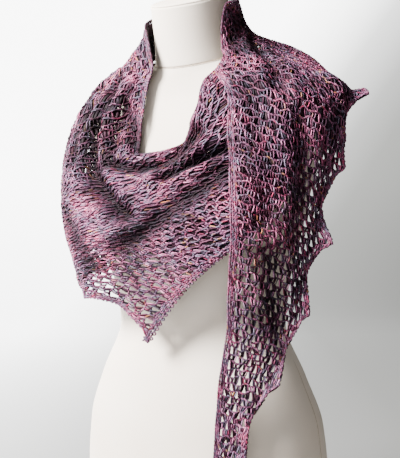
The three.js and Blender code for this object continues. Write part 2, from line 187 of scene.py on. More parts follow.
def fold_height(layer, turn, down):
    girth = 360 * MM_PER_DEGREE
    x = (np.mod(turn + 180, 360) - 180) * MM_PER_DEGREE
    height, painted_shade = np.zeros_like(x), np.zeros_like(x)
    covered = smoothstep((turn - 380) / 12)     # crests stay low where the hanging end lies on top
    q = np.linspace(0, 1, 13)
    for f in FOLDS:
        if f[0] != layer:
            continue
        _, t0, d0, t1, d1, t2, d2, depth, width = f
        c = (2 * t1 - (t0 + t2) / 2, 2 * d1 - (d0 + d2) / 2)
        px = ((1 - q) ** 2 * t0 + 2 * q * (1 - q) * c[0] + q * q * t2) * MM_PER_DEGREE
        py = (1 - q) ** 2 * d0 + 2 * q * (1 - q) * c[1] + q * q * d2
        middle = (px[0] + px[-1]) / 2
        xx = x - girth * np.round((x - middle) / girth)
        near = np.full_like(x, 1e9)
        for i in range(12):
            dx, dy = px[i + 1] - px[i], py[i + 1] - py[i]
            ax, ay = xx - px[i], down - py[i]
            t = np.clip((ax * dx + ay * dy) / (dx * dx + dy * dy), 0, 1)
            near = np.minimum(near, np.hypot(ax - t * dx, ay - t * dy))
        valley = np.exp(-(near / width) ** 2)
        height -= depth * valley
        if depth > 0:
            crest = np.exp(-((near - 1.55 * width) / (0.85 * width)) ** 2)
            height += 0.50 * depth * crest * (1 - covered)
            # painted shade: the yarn is darkened at the bottom of each fold, less on the hanging end
            painted_shade = np.maximum(painted_shade, valley * min(depth / 7.0, 1.0) * (1.0 if layer == 1 else 0.35))
    return height, painted_shade


# ------------------------------------------------------------------ cloth surface on a fine grid
GRID_S = np.arange(0.0, CUT_LENGTH + 0.1, 2.5)
GRID_W = np.linspace(-0.02, 1.0, 240)
MARGIN = 34.0


def cloth_grid():
    s, w = np.meshgrid(GRID_S, GRID_W, indexing="ij")
    base = base_width(s)
    across = w * (base + MARGIN)
    r = _row(s)
    et, ed, el, ht, hd, hl, aside, bow, sag, flare = [r[..., i] for i in range(10)]
    beyond = np.maximum(across - base, 0)
    u = (across - beyond * flare) / base
    v = np.clip(u, 0, 1)
    skew, middle = 6.75 * v * (1 - v) ** 2, 4 * v * (1 - v)
    turn = et + (ht - et) * u + aside * skew
    down = ed + (hd - ed) * u + bow * skew
    off = el + (hl - el) * v + sag * middle + flare * beyond
    # painted shade from the fold valleys, carried on to the yarn's colour
    painted_shade = np.zeros_like(off)
    for layer, fade in ((1, smoothstep((s - LAYER_CHANGE) / LAYER_FADE)),
                        (2, smoothstep((LAYER_CHANGE - s) / LAYER_FADE))):
        height, valley = fold_height(layer, turn, down)
        off += fade * height
        painted_shade = np.maximum(painted_shade, fade * valley)
    # the cloth lies flatter where it is drawn from the neck out over the left shoulder
    slope = np.exp(-((turn - 88) / 34.0) ** 2) * smoothstep((down - 10) / 60) * smoothstep((175 - down) / 60)
    off -= slope * np.where(s < LAYER_CHANGE, 14.0 - 9.0 * smoothstep((s - 760) / 75), 0.0)
    # one tooth stands out from the shoulder on a broad foot
    off += (14.0 * np.exp(-((s - 676) / np.where(s < 676, 30.0, 48.0)) ** 2)
            * smoothstep((across - base + 85) / 105))
    off += 9.0 * np.exp(-((s - 452) / 22.0) ** 2) * smoothstep((across - base + 30) / 55)
    slope = np.exp(-((turn - 448) / 34.0) ** 2) * smoothstep((down - 10) / 60) * smoothstep((175 - down) / 60)
    off -= 5.0 * slope
    slope = np.exp(-((turn - 303) / 27.0) ** 2) * smoothstep((down - 35) / 50) * smoothstep((165 - down) / 70)
    off -= 9.0 * slope * smoothstep((s - 1000) / 40)
    off += (13.0 * np.exp(-((turn - 300) / 36.0) ** 2 - ((down - 2) / 36.0) ** 2)
            * smoothstep((s - 1000) / 40))
    point = drape_point(turn, down) + drape_normal(turn, down) * off[..., None]
    ds = np.gradient(point, axis=0)
    dw = np.gradient(point, axis=1)
    normal = unit(np.cross(ds, dw))
    out = drape_normal(turn, down)
    normal *= np.sign((normal * out).sum(-1, keepdims=True))
    # painted shade on the cloth near the neck, where the layers round it shade it
    painted_shade = np.maximum(painted_shade, 0.50 * smoothstep((s - 670) / 50) * smoothstep((850 - s) / 60)
                      * smoothstep((120 - across) / 70) * smoothstep((across - 6) / 24))
    stretch = np.linalg.norm(dw, axis=-1) / ((GRID_W[1] - GRID_W[0]) * (base + MARGIN))
    return point, normal, painted_shade[..., None], stretch[..., None]


GRID_P, GRID_N, GRID_PAINTED_SHADE, GRID_STRETCH = cloth_grid()


def on_grid(s, t, *grids):
    s, t = np.broadcast_arrays(np.asarray(s, float), np.asarray(t, float))
    s = np.clip(s, 0, CUT_LENGTH)
    w = t / (base_width(s) + MARGIN)
    a = np.clip(s / 2.5, 0, len(GRID_S) - 1.001)
    b = np.clip((w - GRID_W[0]) / (GRID_W[1] - GRID_W[0]), 0, len(GRID_W) - 1.001)
    i, j = a.astype(int), b.astype(int)
    fa, fb = (a - i)[..., None], (b - j)[..., None]
    return [(g[i, j] * (1 - fb) + g[i, j + 1] * fb) * (1 - fa)
            + (g[i + 1, j] * (1 - fb) + g[i + 1, j + 1] * fb) * fa for g in grids]


def cloth(s, t, h=0.0):
    """Points in mm of the cloth at s, t in flat mm, h mm proud of its middle, and the normals there."""
    p, n = on_grid(s, t, GRID_P, GRID_N)
    n = unit(n)
    return p + n * np.asarray(h, float)[..., None], n


def painted_shade_at(s, t):
    """Painted shade for the yarn's colour: up to 1 at the bottom of a fold, up to 0.5 on the cloth near the neck, 0
    elsewhere.
    """
    return on_grid(s, t, GRID_PAINTED_SHADE)[0][..., 0]


# ------------------------------------------------------------------ yarn tubes
class Yarn:
    """Collects closed yarn tubes for one piece."""

    def __init__(self, name):
        self.name, self.verts, self.quads, self.caps = name, [], [], []
        self.uvs, self.face, self.count = [], [], 0

    def add(self, centre, normal, radius, uv, lit=1.0, sides=4):
        """centre (m, n, 3) in mm, normal the same, radius (m, n) or a number, uv (m, n, 2), lit (m, n) or a number, the
        painted light on the plies.
        """
        m, n, _ = centre.shape
        tangent = unit(np.gradient(centre, axis=1))
        up = unit(normal - (normal * tangent).sum(-1, keepdims=True) * tangent)
        side = np.cross(tangent, up)
        angle = np.arange(sides) * 2 * math.pi / sides + 0.6
        r = np.broadcast_to(np.asarray(radius, float), (m, n))[..., None, None]
        ring = centre[:, :, None] + r * (np.cos(angle)[None, None, :, None] * up[:, :, None]
                                         + np.sin(angle)[None, None, :, None] * side[:, :, None])
        self.verts.append(ring.reshape(-1, 3))
        lit = np.broadcast_to(np.asarray(lit, float), (m, n))[..., None]
        # painted light: a painted highlight on the top of each tube and painted shade on its underside, scaled by lit
        self.face.append((lit * (0.5 + 0.5 * np.cos(angle))).reshape(-1))
        index = self.count + np.arange(m * n * sides).reshape(m, n, sides)
        nxt = np.roll(index, -1, axis=2)
        quads = np.stack([index[:, :-1], index[:, 1:], nxt[:, 1:], nxt[:, :-1]], -1).reshape(-1, 4)
        self.quads.append(quads)
        self.caps.append(index[:, 0].reshape(-1, sides))
        self.caps.append(index[:, -1, ::-1].reshape(-1, sides))
        self.uvs.append(np.repeat(uv[:, :, None], sides, axis=2).reshape(-1, 2))
        self.count += m * n * sides

    def make(self, material):
        verts = np.concatenate(self.verts) / 1000
        uvs = np.concatenate(self.uvs)
        loops, starts, totals = [], [], []
        at = 0
        for block in self.quads + self.caps:
            k = block.shape[1]
            loops.append(block.reshape(-1))
            starts.append(at + np.arange(len(block)) * k)
            totals.append(np.full(len(block), k))
            at += block.size
        loops = np.concatenate(loops).astype(np.int32)
        starts = np.concatenate(starts).astype(np.int32)
        totals = np.concatenate(totals).astype(np.int32)
        mesh = bpy.data.meshes.new(self.name)
        mesh.vertices.add(len(verts))
        mesh.vertices.foreach_set("co", verts.astype(np.float32).reshape(-1))
        mesh.loops.add(len(loops))
        mesh.loops.foreach_set("vertex_index", loops)
        mesh.polygons.add(len(starts))
        mesh.polygons.foreach_set("loop_start", starts)
        mesh.polygons.foreach_set("loop_total", totals)
        mesh.polygons.foreach_set("use_smooth", np.ones(len(starts), bool))
        layer = mesh.uv_layers.new(name="Yarn")
        layer.uv.foreach_set("vector", uvs[loops].astype(np.float32).reshape(-1))
        mesh.update(calc_edges=True)
        mesh.validate()
        # the painted light, read by the yarn's material
        out = mesh.attributes.new("painted_light", "FLOAT", "POINT")
        out.data.foreach_set("value", np.concatenate(self.face).astype(np.float32))
        mesh.materials.append(material)
        piece = bpy.data.objects.new(self.name, mesh)
        bpy.context.scene.collection.objects.link(piece)
        self.triangles = int((totals - 2).sum())
        return piece


def plump(s):
    """The yarn is fuller at both ends of the cut, where the lace is worked closer."""
    return (1 + 0.20 * smoothstep((640 - s) / 70) + 0.16 * smoothstep((380 - s) / 120)
            + 0.17 * smoothstep((s - 1150) / 60))


def drift(s, t):
    """The slow unevenness of handwork: every stitch is carried a little off the even lattice."""
    ds = (np.sin(s / 13.0 + 2.1 * np.sin(t / 37.0)) + np.sin(t / 9.7 + 1.9 * np.sin(s / 29.0) + 1.0)
          + 0.8 * np.sin((s + t) / 6.1 + 2.0))
    dt = (np.sin(t / 14.5 + 2.4 * np.sin(s / 33.0) + 4.0) + np.sin(s / 8.9 + 1.7 * np.sin(t / 26.0) + 2.6)
          + 0.8 * np.sin((s - t) / 5.7))
    return s + 0.9 * ds, t + 0.95 * dt


def limit(s):
    return base_width(s) + tooth_reach(s)


# ------------------------------------------------------------------ the lace
ROW_PITCH = 9.0         # one row of fans
HALF_REPEAT = 10.2      # fan to hole
WAVE = 1.75             # how far the rope of each row waves round the holes
PLY = 1.06              # ply radius
RIB = 8.4               # width of the ribbed straight edge


class Stretch:
    """One length of the shawl, made of closed yarn tubes in three pieces."""

    def __init__(self, name, start, end):
        self.name, self.start, self.end = name, start, end
        self.lace, self.mesh, self.trim = Yarn(name + "_lace"), Yarn(name + "_mesh"), Yarn(name + "_edging")

    def fullness(self, s, t):
        """How far the yarn fills out where the lace is gathered: 0 open, 1 closed."""
        base = base_width(s)
        roll = smoothstep((s - 1000) / 80) * smoothstep((0.74 * base - t) / 90)   # the cowl's rolled, gathered part
        tucked = smoothstep((s - 1380) / 60) * smoothstep((0.80 * base - t) / 60)  # under the hanging end
        neck = 0.7 * smoothstep((s - 690) / 60) * smoothstep((110 - t) / 70)
        side = 0.9 * smoothstep((s - 1150) / 80) * smoothstep((0.93 * base - t) / 60) * smoothstep((1400 - s) / 60)
        layered = 0.85 * smoothstep((s - 565) / 50) * smoothstep((850 - s) / 60)
        return np.maximum.reduce([roll, tucked, neck, side, layered])

    def within(self, s, t, inset=1.6):
        s = np.clip(s, 0.0, CUT_LENGTH - 1.0)
        return s, np.minimum(np.maximum(t, RIB - 1.2), limit(s) - inset)

    def pair(self, yarn, s, t, h, along_s, phase, turns, spread, radius, v, u):
        """Two plies wound round the lines s, t, h, each (m, n)."""
        x = np.linspace(0, 1, s.shape[1])[None]
        for k in (0, 1):
            a = 2 * math.pi * turns * x + phase + math.pi * k
            ss = s + (0 if along_s else 1) * spread * np.cos(a)
            tt = t + (1 if along_s else 0) * spread * np.cos(a)
            p, n = cloth(ss, tt, h + spread * np.sin(a))
            uv = np.stack(np.broadcast_arrays(u, v + 0.73 * k + 0 * u), -1)
            # painted shade on the plies in fold valleys and near the neck
            yarn.add(p, n, radius, uv, 1 - 0.68 * painted_shade_at(ss, tt))

    def rope_line(self, j, t):
        odd = (j % 2) * HALF_REPEAT
        return ROW_PITCH * (j + 0.5) + WAVE * np.cos(math.pi * (t - odd) / HALF_REPEAT)

    def rows(self):
        first = int(math.floor(self.start / ROW_PITCH)) - 1
        last = int(math.ceil(self.end / ROW_PITCH)) + 1
        for j in range(first, last + 1):
            middle = ROW_PITCH * j
            if self.start <= middle < self.end:     # a row belongs to the stretch that holds its middle
                width = float(limit(min(middle + 2, CUT_LENGTH)))
                for shift, work in ((1, self.fans), (0, self.behind)):
                    centres = np.arange(((j + shift) % 2) * HALF_REPEAT, width + 12, 2 * HALF_REPEAT)
                    centres = centres[(centres > RIB - 5) & (centres < width + 4)]
                    if len(centres):
                        work(j, centres, width)
            self.rope(j)

    def behind(self, j, centres, width):
        """Where the lace is gathered the cloth behind shows through the holes: plies set deep in them, darkened by
        painted shade.
        """
        x = np.array([0.0, 0.5, 1.0])[None]
        full = self.fullness(np.full_like(centres, ROW_PITCH * j), centres)
        c = centres[(full > 0.12) & (centres < width - 5)][:, None]
        if not len(c):
            return
        for k in (-2.6, 0, 2.6):
            low, high = c + k * 1.5, c + k * 1.5 + rng.normal(0, 0.5, c.shape)
            s_low, s_high = self.rope_line(j - 1, low) - 1.2, self.rope_line(j, high) + 1.2
            s = s_low + (s_high - s_low) * x
            t = low + (high - low) * x
            s, t = self.within(*drift(s, t))
            full = np.minimum(self.fullness(s, t) * 1.25, 1.0)
            p, n = cloth(s, t, -1.5 + 0.3 * np.sin(math.pi * x))
            u = np.broadcast_to(c / 1000.0 + 0.003 * k, t.shape)
            v = np.broadcast_to(j + 0.31 * k + 40.0, t.shape)
            wide = np.clip(on_grid(s, t, GRID_STRETCH)[0][..., 0], 1.0, 1.5)    # fuller where the drape spreads the lace
            # painted shade: these plies are darkened to 0.46 of the yarn's colour
            self.mesh.add(p, n, (0.35 + 1.95 * full) * wide, np.stack([u, v], -1), (1 - 0.68 * painted_shade_at(s, t)) * 0.46)

    def fans(self, j, centres, width):
        x = np.array([0.0, 0.33, 0.68, 1.0])[None]
        c = centres[:, None]
        twist = rng.normal(0, 0.6, c.shape)
        # plies deep in each fan, then finer ones on top of them
        for k, deep in ((-2, 1), (0, 1), (2, 1), (-2.9, 0), (-1.5, 0), (0.1, 0), (1.5, 0), (2.9, 0)):
            jitter = rng.normal(0, 0.34, c.shape)
            wide = plump(ROW_PITCH * j) ** 0.5
            low, high = c + k * 1.72 * wide + 0.4 * jitter, c + k * 2.62 * wide + twist + jitter
            s_low = self.rope_line(j - 1, low) - 0.5
            s_high = self.rope_line(j, high) + 0.5
            belly = np.sin(math.pi * x)
            s = s_low + (s_high - s_low) * x
            t = low + (high - low) * x + k * 0.30 * belly
            h = (-0.7 + 0.5 * belly if deep else 0.5 + (1.9 - 0.25 * abs(k) + 2.0 * jitter) * belly) + 0 * t
            keep = (s[:, 0] > -1.5) & (s[:, -1] < CUT_LENGTH + 1.5) & (t[:, 1] < width + 2) & (t[:, 1] > RIB - 2.4)
            if not keep.any():
                continue
            s, t, h = s[keep], t[keep], h[keep]
            s, t = self.within(*drift(s, t))
            p, n = cloth(s, t, h)
            full = self.fullness(s, t)
            r = (1.40 + 0.60 * x + 0.20 * full if deep else (0.76 + 0.08 * full) * (0.92 + 0.18 * belly)) * plump(s)
            u = np.broadcast_to(c[keep] / 1000.0 + 0.0022 * k, t.shape)
            v = np.broadcast_to(j + 0.47 * k + 0.5 * jitter[keep], t.shape)
            # painted light: painted shade on the deep plies and in fold valleys, a painted highlight on the raised
            # middle of each fine ply; the random part per ply is tone
            lit = (1 - 0.68 * painted_shade_at(s, t)) * (
                0.40 if deep else (0.97 + 0.30 * np.tanh(2 * jitter[keep])) * (0.76 + 0.34 * belly))
            (self.mesh if deep and k >= 0 else self.lace).add(p, n, r, np.stack([u, v], -1), lit)

    def rope(self, j):
        level = ROW_PITCH * (j + 0.5)
        if not self.start <= level < self.end - (1.0 if self.end > CUT_LENGTH - 1 else 0.0):
            return
        width = float(limit(level))
        t = np.arange(RIB - 1, width + 1.0, 2.55)
        if len(t) < 3:
            return
        s = self.rope_line(j, t)
        u = (t / 1000.0)[None]
        s, t = self.within(*drift(s, t))
        h = 0.5 + 1.0 * self.fullness(s, t) + 0.35 * np.sin(t / 5.0 + j)
        self.pair(self.mesh, s[None], t[None], h[None], False, 0.9 * j, len(t) * 2.55 / 9.3,
                  0.95, (PLY * plump(s) * (0.92 + 0.20 * self.fullness(s, t)))[None], float(j) + 0.5, u)

    def straight_edge(self):
        s = np.arange(self.start, self.end + 0.1, 2.4)
        s[-1] = self.end
        for k, t in enumerate((0.9, 3.5, 6.1, 8.4)):
            tt = t + 0.3 * np.sin(s / 9.0 + 2 * k)
            h = 1.3 - 0.25 * k + 0.25 * np.sin(s / 5.0 + k)
            self.pair(self.trim, s[None], tt[None], h[None], True, 0.8 * k, (self.end - self.start) / 10.5,
                      0.72, PLY, 200.0 + 3 * k, (s / 1000.0)[None])

    def toothed_edge(self):
        s = np.arange(self.start, self.end + 0.1, 2.2)
        s[-1] = self.end
        for k, inset in enumerate((0.9, 3.2, 5.4)):
            bead = 1.12 + 0.34 * np.sin(2 * math.pi * s / 6.6 + 2 * k)
            t = np.maximum(limit(s) - inset + 0.7 * np.sin(2 * math.pi * s / 6.6 + 1.5 * k), RIB + 2.0 - 0.6 * k)
            h = 0.6 + 0.3 * np.sin(s / 4.0 + k)
            self.pair(self.trim, s[None], t[None], h[None], True, 1.9 * k, (self.end - self.start) / 8.8,
                      0.95, (PLY * 1.02 * bead)[None], 230.0 + 3 * k, (s / 1000.0)[None])

    def last_row(self):
        width = float(limit(self.end))
        t = np.arange(0.6, width - 0.4, 2.2)
        for k, inset in enumerate((1.2, 3.9, 6.4)):
            beat = 2 * math.pi * t / 7.4 + 2.1 * k
            s = self.end - inset + 0.9 * np.sin(beat)
            h = 0.8 + 0.9 * np.cos(beat)
            self.pair(self.trim, s[None], t[None], h[None], False, 1.2 * k, len(t) * 2.2 / 8.8,
                      0.95, (PLY * (1.05 + 0.30 * np.cos(beat)))[None], 260.0 + 3 * k, (t / 1000.0)[None])
        # small loops along it
        c = np.arange(5.0, width - 3.0, 8.6)[:, None]
        a = np.linspace(-0.35 * math.pi, 1.35 * math.pi, 9)[None]
        s = self.end - 0.4 + 0 * c + 2.0 * (np.sin(a) + 0.75)
        t = c + 2.1 * np.cos(a)
        base = cloth(np.full_like(t, self.end), t, 0.7)
        inner = cloth(np.full_like(t, self.end - 4.0), t, 0.7)
        out = unit(base[0] - inner[0])
        p = base[0] + out * (s - self.end)[..., None]
        uv = np.stack([t / 1000.0, np.full(t.shape, 280.0)], -1)
        self.trim.add(p, base[1], PLY * 1.05, uv)

    def finish(self, material):
        for yarn in (self.lace, self.mesh, self.trim):
            piece = yarn.make(material)
            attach(piece, "root")
            print(yarn.name, yarn.triangles, "surface", round(sum(q.area for q in piece.data.polygons) / 2, 4))
        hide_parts(self.name)


def build_stretch(name, start, end, material):
    piece = Stretch(name, start, end)
    piece.rows()
    piece.straight_edge()
    piece.toothed_edge()
    if end > CUT_LENGTH - 1:
        piece.last_row()
    piece.finish(material)


# ------------------------------------------------------------------ materials
def new_material(name):
    mat = bpy.data.materials.new(name)
    mat.use_nodes = True
    nodes, links = mat.node_tree.nodes, mat.node_tree.links
    return mat, nodes, links, nodes["Principled BSDF"]


def ramp(nodes, stops, interpolation="LINEAR"):
    r = nodes.new("ShaderNodeValToRGB")
    r.color_ramp.interpolation = interpolation
    els = r.color_ramp.elements
    while len(els) < len(stops):
        els.new(0.5)
    for e, (pos, col) in zip(els, stops):
        e.position = pos
        e.color = (*col, 1)
    return r


def noise(nodes, scale, detail=2.0, rough=0.5, distortion=0.0):
    n = nodes.new("ShaderNodeTexNoise")
    n.inputs["Scale"].default_value = scale
    n.inputs["Detail"].default_value = detail
    n.inputs["Roughness"].default_value = rough
    n.inputs["Distortion"].default_value = distortion
    return n


def yarn_material():
    mat, nodes, links, bsdf = new_material("variegated_yarn")
    coord = nodes.new("ShaderNodeTexCoord")
    uv = nodes.new("ShaderNodeUVMap")
    uv.uv_map = "Yarn"
    # colour runs along the yarn: long across a row, fresh in every row
    stretch = nodes.new("ShaderNodeMapping")
    stretch.inputs["Scale"].default_value = (52.0, 2.3, 1.0)
    links.new(uv.outputs["UV"], stretch.inputs["Vector"])
    run = noise(nodes, 1.0, 2.0, 0.6)
    links.new(stretch.outputs["Vector"], run.inputs["Vector"])
    base = ramp(nodes, [
        (0.00, (0.004, 0.0014, 0.0024)), (0.36, (0.010, 0.0030, 0.0060)), (0.43, (0.044, 0.0140, 0.0260)),
        (0.475, (0.125, 0.0500, 0.0820)), (0.515, (0.056, 0.0220, 0.0400)), (0.555, (0.068, 0.0590, 0.0760)),
        (0.60, (0.030, 0.0240, 0.0340)), (0.66, (0.165, 0.0820, 0.1230)), (1.00, (0.260, 0.1600, 0.2100))])
    links.new(run.outputs["Fac"], base.inputs["Fac"])
    # rarer lengths of gold, red and magenta
    far = nodes.new("ShaderNodeMapping")
    far.inputs["Scale"].default_value = (60.0, 1.9, 1.0)
    far.inputs["Location"].default_value = (7.3, 11.1, 3.0)
    links.new(uv.outputs["UV"], far.inputs["Vector"])
    fleck = noise(nodes, 1.0, 1.0, 0.5)
    links.new(far.outputs["Vector"], fleck.inputs["Vector"])
    gold_at = ramp(nodes, [(0.0, (0, 0, 0)), (0.665, (0, 0, 0)), (0.72, (0.75, 0.75, 0.75)), (1.0, (0.9, 0.9, 0.9))])
    rose_at = ramp(nodes, [(0.0, (0.8, 0.8, 0.8)), (0.30, (0.7, 0.7, 0.7)), (0.35, (0, 0, 0)), (1.0, (0, 0, 0))])
    links.new(fleck.outputs["Fac"], gold_at.inputs["Fac"])
    links.new(fleck.outputs["Fac"], rose_at.inputs["Fac"])

    def blended(kind, factor, first, second):
        mix = nodes.new("ShaderNodeMix")
        mix.data_type, mix.blend_type = "RGBA", kind
        for value, socket in ((factor, "Factor"), (first, "A"), (second, "B")):
            if isinstance(value, (tuple, float)):
                mix.inputs[socket].default_value = value
            else:
                links.new(value, mix.inputs[socket])
        return mix.outputs["Result"]

    colour = blended("MIX", gold_at.outputs["Color"], base.outputs["Color"], (0.150, 0.078, 0.026, 1))
    colour = blended("MIX", rose_at.outputs["Color"], colour, (0.140, 0.014, 0.038, 1))
    # heathered fibres; below it, painted light on the plies
    fibre = noise(nodes, 700.0, 3.0, 0.65)
    links.new(coord.outputs["Object"], fibre.inputs["Vector"])
    shade = ramp(nodes, [(0.0, (0.30, 0.30, 0.31)), (0.42, (0.62, 0.60, 0.62)), (0.58, (1.20, 1.16, 1.20)), (1.0, (2.1, 2.0, 2.1))])
    links.new(fibre.outputs["Fac"], shade.inputs["Fac"])
    colour = blended("MULTIPLY", 1.0, colour, shade.outputs["Color"])
    # painted light: a painted highlight on the tops of the plies, and painted shade on their undersides, in fold
    # valleys, near the neck and on the deep plies
    painted_light = nodes.new("ShaderNodeAttribute")
    painted_light.attribute_name = "painted_light"
    depth = ramp(nodes, [(0.0, (0.06, 0.04, 0.05)), (0.42, (0.26, 0.205, 0.24)), (0.74, (0.90, 0.80, 0.86)), (1.0, (4.4, 3.75, 3.95))])
    links.new(painted_light.outputs["Fac"], depth.inputs["Fac"])
    colour = blended("MULTIPLY", 1.0, colour, depth.outputs["Color"])
    # broad pools where the dyeing runs darker, lighter or greyer
    pool = noise(nodes, 17.0, 2.0, 0.55)
    links.new(coord.outputs["Object"], pool.inputs["Vector"])
    pools = ramp(nodes, [(0.30, (0.50, 0.46, 0.48)), (0.44, (0.80, 0.92, 0.98)), (0.52, (1.08, 1.0, 1.05)), (0.60, (1.42, 1.04, 1.16)), (0.70, (1.55, 1.45, 1.50))])
    links.new(pool.outputs["Fac"], pools.inputs["Fac"])
    colour = blended("MULTIPLY", 1.0, colour, pools.outputs["Color"])
    links.new(colour, bsdf.inputs["Base Color"])
    bsdf.inputs["Roughness"].default_value = 0.62
    bsdf.inputs["Specular IOR Level"].default_value = 0.10
    bump = nodes.new("ShaderNodeBump")
    bump.inputs["Strength"].default_value = 0.5
    bump.inputs["Distance"].default_value = 0.0004
    links.new(fibre.outputs["Fac"], bump.inputs["Height"])
    links.new(bump.outputs["Normal"], bsdf.inputs["Normal"])
    return mat


def cover_material():
    mat, nodes, links, bsdf = new_material("cream_cotton_cover")
    coord = nodes.new("ShaderNodeTexCoord")
    broad = noise(nodes, 9.0, 3.0, 0.5)
    links.new(coord.outputs["Object"], broad.inputs["Vector"])
    tone = ramp(nodes, [(0.0, (0.80, 0.66, 0.54)), (0.45, (0.88, 0.77, 0.665)), (1.0, (0.92, 0.835, 0.75))])
    links.new(broad.outputs["Fac"], tone.inputs["Fac"])
    weave = noise(nodes, 1400.0, 2.0, 0.6)
    links.new(coord.outputs["Object"], weave.inputs["Vector"])
    grain = ramp(nodes, [(0.0, (0.88, 0.88, 0.88)), (0.5, (1, 1, 1)), (1.0, (1.06, 1.06, 1.06))])
    links.new(weave.outputs["Fac"], grain.inputs["Fac"])
    mix = nodes.new("ShaderNodeMix"); mix.data_type = "RGBA"; mix.blend_type = "MULTIPLY"
    mix.inputs["Factor"].default_value = 1.0
    links.new(tone.outputs["Color"], mix.inputs["A"])
    links.new(grain.outputs["Color"], mix.inputs["B"])
    links.new(mix.outputs["Result"], bsdf.inputs["Base Color"])
    bsdf.inputs["Roughness"].default_value = 0.85
    bsdf.inputs["Specular IOR Level"].default_value = 0.2
    bump = nodes.new("ShaderNodeBump")
    bump.inputs["Strength"].default_value = 0.25
    bump.inputs["Distance"].default_value = 0.0003
    links.new(weave.outputs["Fac"], bump.inputs["Height"])
    links.new(bump.outputs["Normal"], bsdf.inputs["Normal"])
    return mat


def wood_material():
    mat, nodes, links, bsdf = new_material("dark_turned_wood")
    coord = nodes.new("ShaderNodeTexCoord")
    squeeze = nodes.new("ShaderNodeMapping")
    squeeze.inputs["Scale"].default_value = (1.0, 1.0, 0.12)
    links.new(coord.outputs["Object"], squeeze.inputs["Vector"])
    grain = noise(nodes, 260.0, 4.0, 0.6, 0.6)
    links.new(squeeze.outputs["Vector"], grain.inputs["Vector"])
    tone = ramp(nodes, [(0.0, (0.030, 0.010, 0.005)), (0.5, (0.085, 0.030, 0.014)), (1.0, (0.17, 0.070, 0.032))])
    links.new(grain.outputs["Fac"], tone.inputs["Fac"])
    links.new(tone.outputs["Color"], bsdf.inputs["Base Color"])
    bsdf.inputs["Roughness"].default_value = 0.38
    bsdf.inputs["Coat Weight"].default_value = 0.3
    bsdf.inputs["Coat Roughness"].default_value = 0.2
    bump = nodes.new("ShaderNodeBump")
    bump.inputs["Strength"].default_value = 0.2
    bump.inputs["Distance"].default_value = 0.0003
    links.new(grain.outputs["Fac"], bump.inputs["Height"])
    links.new(bump.outputs["Normal"], bsdf.inputs["Normal"])
    return mat


def floor_material():
    """A sweep whose pale look is painted light: a dark grey colour under a glow that is brighter on the window's side.
    """
    mat, nodes, links, bsdf = new_material("glowing_floor")
    coord = nodes.new("ShaderNodeTexCoord")
    n = noise(nodes, 0.6, 2.0, 0.5)
    links.new(coord.outputs["Object"], n.inputs["Vector"])
    tone = ramp(nodes, [(0.0, (0.085, 0.085, 0.083)), (1.0, (0.100, 0.100, 0.097))])
    links.new(n.outputs["Fac"], tone.inputs["Fac"])
    links.new(tone.outputs["Color"], bsdf.inputs["Base Color"])
    bsdf.inputs["Roughness"].default_value = 0.9
    across = nodes.new("ShaderNodeVectorMath")
    across.operation = "DOT_PRODUCT"
    across.inputs[1].default_value = (0.857, 0.515, -0.72)
    links.new(coord.outputs["Object"], across.inputs[0])
    span = nodes.new("ShaderNodeMapRange")
    span.inputs["From Min"].default_value = -2.0
    span.inputs["From Max"].default_value = 2.0
    links.new(across.outputs["Value"], span.inputs["Value"])
    glow = ramp(nodes, GLOW)
    links.new(span.outputs["Result"], glow.inputs["Fac"])
    # painted light: the glow is dimmer on the floor near the object than on the wall round it, and stronger further
    # back
    parts = nodes.new("ShaderNodeSeparateXYZ")
    links.new(coord.outputs["Object"], parts.inputs[0])
    rise = nodes.new("ShaderNodeMapRange")
    rise.inputs["From Max"].default_value = 0.7
    rise.inputs["To Min"].default_value = 0.75
    links.new(parts.outputs["Z"], rise.inputs["Value"])
    along = nodes.new("ShaderNodeVectorMath")
    along.operation = "DOT_PRODUCT"
    along.inputs[1].default_value = (-0.515, 0.857, 0.0)
    links.new(coord.outputs["Object"], along.inputs[0])
    back = nodes.new("ShaderNodeMapRange")
    back.inputs["From Min"].default_value = -0.6
    back.inputs["From Max"].default_value = 2.6
    back.inputs["To Min"].default_value = 1.3
    back.inputs["To Max"].default_value = 8.5
    links.new(along.outputs["Value"], back.inputs["Value"])
    power = nodes.new("ShaderNodeMath")
    power.operation = "MULTIPLY"
    links.new(back.outputs["Result"], power.inputs[1])
    links.new(rise.outputs["Result"], power.inputs[0])
    links.new(power.outputs["Value"], bsdf.inputs["Emission Strength"])
    links.new(glow.outputs["Color"], bsdf.inputs["Emission Color"])
    return mat


# painted light: the sweep's glow, bright on the window's side and dim on the far side
GLOW = [(0.0, (1.0, 1.0, 1.0)), (0.32, (0.95, 0.955, 0.96)), (0.40, (0.66, 0.663, 0.66)), (0.48, (0.26, 0.262, 0.26)), (0.56, (0.115, 0.116, 0.114)),
        (0.62, (0.072, 0.073, 0.070)), (0.80, (0.035, 0.0353, 0.034)), (1.0, (0.030, 0.030, 0.029))]


MATERIALS = {"yarn": yarn_material(), "cover": cover_material(), "wood": wood_material(), "floor": floor_material()}


# ------------------------------------------------------------------ the dress form
def mesh_piece(name, verts, faces, material, replaced=None):
    mesh = bpy.data.meshes.new(name)
    mesh.from_pydata((np.asarray(verts) / 1000).tolist(), [], faces)
    mesh.polygons.foreach_set("use_smooth", [True] * len(mesh.polygons))
    mesh.materials.append(material)
    mesh.validate()
    piece = bpy.data.objects.new(name, mesh)
    bpy.context.scene.collection.objects.link(piece)
    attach(piece, "root")
    if replaced:
        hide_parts(replaced)
    return piece


def full_rings(rows):
    return rows[:, [1, 0, 2, 2, 3, 4, 5, 6, 7]]


